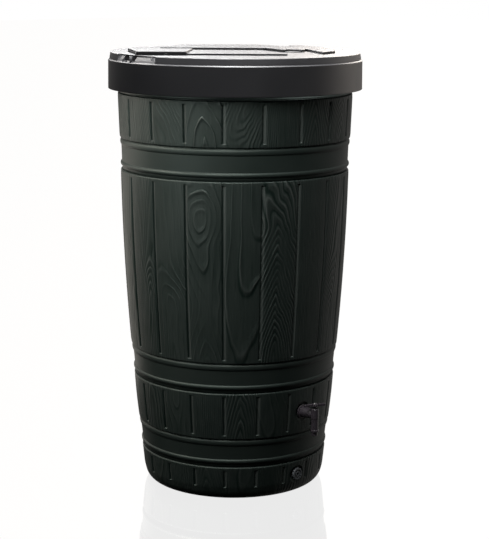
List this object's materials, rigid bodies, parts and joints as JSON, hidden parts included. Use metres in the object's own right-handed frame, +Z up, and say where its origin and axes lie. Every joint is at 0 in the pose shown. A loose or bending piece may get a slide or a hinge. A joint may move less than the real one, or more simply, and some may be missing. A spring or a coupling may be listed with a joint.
{
  "type": "rain barrel",
  "caption": "Tall tapered rain barrel moulded like a wooden cask, with staves and hoops, a broad lift-off lid, a quarter-turn tap and a screw-in drain plug.",
  "frame": {"origin": "centre of the base, on the floor it stands on", "axes": "+Z up along the barrel's axis; the tap and drain plug face -Y"},
  "size_m": [0.6932, 0.6932, 1.2058],
  "materials": {
    "barrel": "wood-grain moulded, satin",
    "lid": "smooth satin",
    "tap": "smooth satin",
    "plug": "smooth satin",
    "seal": "matt",
    "screw": "plain"
  },
  "bodies": {
    "barrel": {"barrel_body": "barrel", "tap_body": "tap", "tap_outer_washer": "seal", "tap_inner_washer": "seal", "tap_lock_nut": "tap", "tap_gland_ring": "tap", "drain_insert": "tap"},
    "lid": {"lid": "lid"},
    "tap_valve": {"tap_valve_core": "tap", "tap_core_seals": "seal", "tap_handle": "tap", "tap_handle_screw": "screw"},
    "drain_gasket": {"drain_gasket": "seal"},
    "drain_plug": {"drain_plug": "plug"}
  },
  "joints": [
    {"name": "lid_lift", "type": "slide", "parent": "barrel", "child": "lid", "axis": [0, 0, 1], "range_m": [0, 0.25]},
    {"name": "tap_handle_turn", "type": "hinge", "parent": "barrel", "child": "tap_valve", "pos_m": [0, -0.32176, 0.238], "axis": [0, 0, 1], "range_deg": [0, 90]},
    {"name": "drain_plug_travel", "type": "slide", "parent": "barrel", "child": "drain_gasket", "axis": [0, -1, 0], "range_m": [0, 0.0127]},
    {"name": "drain_plug_turn", "type": "hinge", "parent": "drain_gasket", "child": "drain_plug", "pos_m": [0, -0.25163, 0.057], "axis": [0, -1, 0], "range_deg": [0, 2520]}
  ],
  "couplings": [
    {"joint": "drain_plug_travel", "follows": "drain_plug_turn", "m_per_rad": 0.00028871}
  ]
}
